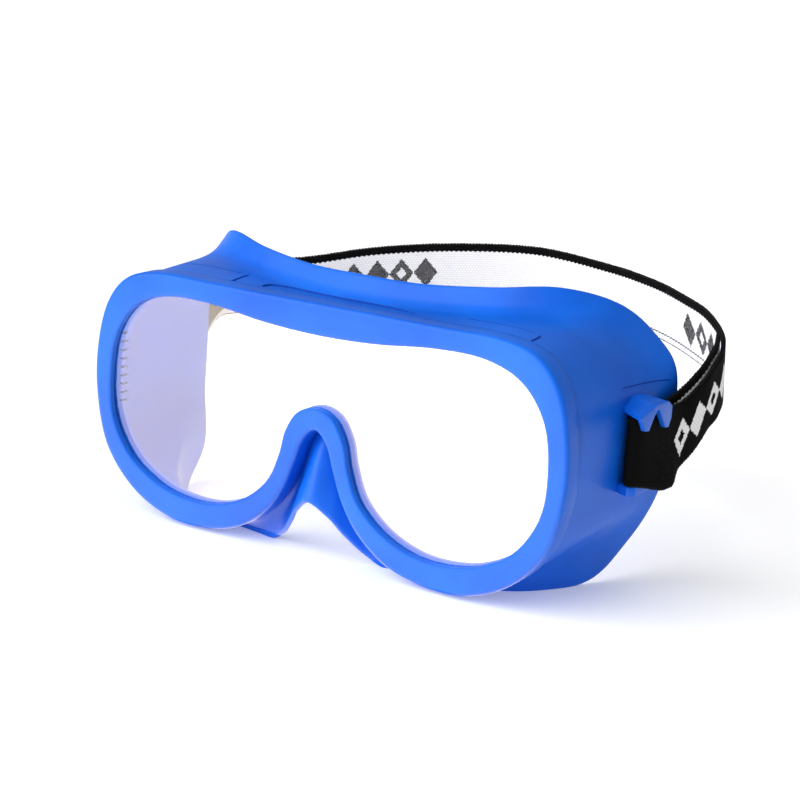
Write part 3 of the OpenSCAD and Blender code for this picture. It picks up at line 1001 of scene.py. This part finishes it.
def end_path():
    """Middle and width of the wearer's-left end, from the rear ribbon to the tail's cut."""
    outer, outer_w = layer(np.linspace(FLEX_END, 0, 25), 0)
    bend = along(LOOP, np.linspace(0, len(LOOP) - 1, 73)[2:-2])
    bend = np.column_stack([bend, np.full(len(bend), LUG_Z)])
    bend_w = np.tile([0.0, 0, 1], (len(bend), 1))
    tail, tail_w = layer(np.linspace(*TAIL_KNOTS, 61), BAND_T + TAIL_GAP)
    run = np.concatenate([[0], np.cumsum(np.linalg.norm(np.diff(tail, axis=0), axis=1))])
    keep = run <= TAIL_LEN - 2
    middle = np.vstack([outer, bend, tail[keep]])
    width = np.vstack([outer_w, bend_w, tail_w[keep]])
    for _ in range(3):
        middle[1:-1] = (middle[:-2] + 2 * middle[1:-1] + middle[2:]) / 4
        width[1:-1] = (width[:-2] + 2 * width[1:-1] + width[2:]) / 4
    middle[0], width[0] = outer[0], outer_w[0]
    front = len(outer) + len(bend) // 2
    width = unit(width)
    middle[front:] += width[front:] * TAIL_RISE * ease(middle[front:, 1:2], *TAIL_CREEPS)
    return middle, width, front


end_middle, end_width, front = end_path()
end_share = bag_share(end_middle[:, 1])
end_share[front:] = 0
end_length = float(np.linalg.norm(np.diff(end_middle, axis=0), axis=1).sum())
ends, end_edges = {}, {}
ends["left"], _, end_edges["left"] = ribbon(
    "headband_end_left", end_middle, end_width, REAR_FIRST + rear_length, end_share, 1, -1)
ends["right"], _, end_edges["right"] = ribbon(
    "headband_end_right", end_middle[::-1] * [-1, 1, 1], end_width[::-1] * [-1, 1, 1],
    REAR_FIRST - end_length, end_share[::-1], -1, 0)
for side, piece in ends.items():
    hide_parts("strap_loop_" + side, "band_flex_" + side, "strap_tail_" + side)
print("each end is", round(end_length), "mm long with its tail")

# %% [markdown]
# ## What repeats: selvedges and stitches
#
# The webbing's edges are small loops of thread, a little over a millimetre apart, and the
# loops behind the posts are closed by two rows of stitches. Both are a bead of thread
# repeated along a line, so one Geometry Nodes tree makes both: it turns a line into a
# curve, places a bead at every step, and turns each bead to the line.

# %% The tree that repeats a bead along a line
BEAD_SEED = 7


def bead_tree():
    """The Geometry Nodes tree, with its sizes as named inputs."""
    tree = bpy.data.node_groups.new("beads_along_a_line", "GeometryNodeTree")
    face = tree.interface
    face.new_socket("Line", in_out="INPUT", socket_type="NodeSocketGeometry")
    for name in ("Step", "Bead length", "Bead thickness", "Uneven"):
        face.new_socket(name, in_out="INPUT", socket_type="NodeSocketFloat")
    face.new_socket("Thread", in_out="INPUT", socket_type="NodeSocketMaterial")
    face.new_socket("Beads", in_out="OUTPUT", socket_type="NodeSocketGeometry")
    nodes, link = tree.nodes, tree.links.new
    start, end = nodes.new("NodeGroupInput"), nodes.new("NodeGroupOutput")
    curve = nodes.new("GeometryNodeMeshToCurve")
    even = nodes.new("GeometryNodeResampleCurve")
    even.mode = "LENGTH"
    ball = nodes.new("GeometryNodeMeshIcoSphere")
    ball.inputs["Subdivisions"].default_value = 2
    ball.inputs["Radius"].default_value = 0.5
    tangent = nodes.new("GeometryNodeInputTangent")
    turned = nodes.new("FunctionNodeAlignRotationToVector")
    turned.axis = "Z"
    size = nodes.new("ShaderNodeCombineXYZ")
    chance = nodes.new("FunctionNodeRandomValue")
    chance.data_type = "FLOAT"
    chance.inputs["Seed"].default_value = BEAD_SEED
    place = nodes.new("GeometryNodeInstanceOnPoints")
    spread = nodes.new("ShaderNodeMath")
    spread.operation = "SUBTRACT"
    spread.inputs[0].default_value = 1.0
    real = nodes.new("GeometryNodeRealizeInstances")
    paint = nodes.new("GeometryNodeSetMaterial")
    smooth = nodes.new("GeometryNodeSetShadeSmooth")
    link(start.outputs["Line"], curve.inputs["Mesh"])
    link(curve.outputs["Curve"], even.inputs["Curve"])
    link(start.outputs["Step"], even.inputs["Length"])
    link(even.outputs["Curve"], place.inputs["Points"])
    link(ball.outputs["Mesh"], place.inputs["Instance"])
    link(tangent.outputs[0], turned.inputs["Vector"])
    link(turned.outputs[0], place.inputs["Rotation"])
    link(start.outputs["Bead thickness"], size.inputs["X"])
    link(start.outputs["Bead thickness"], size.inputs["Y"])
    link(start.outputs["Bead length"], size.inputs["Z"])
    link(start.outputs["Uneven"], spread.inputs[1])
    link(spread.outputs[0], chance.inputs[2])
    grown = nodes.new("ShaderNodeVectorMath")
    grown.operation = "SCALE"
    link(size.outputs[0], grown.inputs[0])
    link(chance.outputs[1], grown.inputs["Scale"])
    link(grown.outputs[0], place.inputs["Scale"])
    link(place.outputs[0], real.inputs[0])
    link(real.outputs[0], smooth.inputs["Geometry"])
    link(smooth.outputs[0], paint.inputs["Geometry"])
    link(start.outputs["Thread"], paint.inputs["Material"])
    link(paint.outputs[0], end.inputs[0])
    return tree


beads = bead_tree()
print("tree", beads.name, "with", len(beads.nodes), "nodes")


# %% Use the tree
def beads_along(name, lines_mm, material, **sizes):
    """A mesh of beads along lines of points in millimetres."""
    points, edges = [], []
    for line in lines_mm:
        edges += [(len(points) + k, len(points) + k + 1) for k in range(len(line) - 1)]
        points += [(x * MM, y * MM + FRONT_Y, z * MM) for x, y, z in line]
    mesh = bpy.data.meshes.new(name + "_line")
    mesh.from_pydata(points, edges, [])
    holder = bpy.data.objects.new(name + "_line", mesh)
    scene.collection.objects.link(holder)
    modifier = holder.modifiers.new("beads", "NODES")
    modifier.node_group = beads
    sockets = {s.name: s.identifier for s in beads.interface.items_tree if s.in_out == "INPUT"}
    for key, value in sizes.items():
        modifier[sockets[key.replace("_", " ")]] = value * (1 if key == "Uneven" else MM)
    modifier[sockets["Thread"]] = material
    ready = holder.evaluated_get(bpy.context.evaluated_depsgraph_get())
    plain = bpy.data.meshes.new_from_object(ready)
    bpy.data.objects.remove(holder)
    piece = bpy.data.objects.new(name, plain)
    scene.collection.objects.link(piece)
    print(name, "has", len(plain.polygons), "faces")
    return piece


# %% [markdown]
# ### Selvedges
#
# The loops of thread stand about half a millimetre proud of the edge.

# %% Edge loops
EDGE_LOOPS = dict(Step=1.15, Bead_length=1.25, Bead_thickness=1.15, Uneven=0.18)
rear_loops = beads_along("selvedge_rear", rear_edges, black_thread, **EDGE_LOOPS)
end_loops = {side: beads_along("selvedge_end_" + side, end_edges[side], black_thread, **EDGE_LOOPS)
             for side in ends}

# %% Stitches behind the posts
SEAM_Y = (46.6, 49.8)
SEAM_INSET = 2.4
SEAM_PROUD = 0.02


def seam_lines(sign):
    """Two rows across the outer face and two across the inner one."""
    low, high = LUG_Z - BAND_W / 2 + SEAM_INSET, LUG_Z + BAND_W / 2 - SEAM_INSET
    lines = []
    for y in SEAM_Y:
        for first, last, away in ((0, 4, 1), (8, 12, -1)):
            s = np.linspace(first, last, 81)
            row = along(LOOP, s)
            x = row[np.argmin(abs(row[:, 1] - y)), 0] + away * (BAND_T / 2 + SEAM_PROUD)
            share = bag_share(np.array([y])) * (away > 0)
            points = [np.array([x, y, z]) + bagged(z - LUG_Z, share)[0]
                      for z in np.linspace(low, high, 12)]
            lines.append(np.array(points) * [sign, 1, 1])
    return lines


for side, sign in (("left", 1), ("right", -1)):
    stitches = beads_along("loop_stitches_" + side, seam_lines(sign), black_thread,
                           Step=2.1, Bead_length=1.7, Bead_thickness=0.4, Uneven=0.1)
    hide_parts("loop_seam_" + side)
    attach(stitches, "frame")

# %% [markdown]
# ## Baking the webbing in place
#
# The ends, the rear ribbon and their selvedges have their placement baked into their meshes.

for piece in (*ends.values(), *end_loops.values()):
    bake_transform(piece)
for piece in (rear, rear_loops):
    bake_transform(piece)

# %% Write the sizes and finish
visual_box = [list(corner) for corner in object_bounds()]
for name, box in (("CAD", cad_box), ("visual", visual_box)):
    print(name, "box", [[round(c / MM, 1) for c in corner] for corner in box])
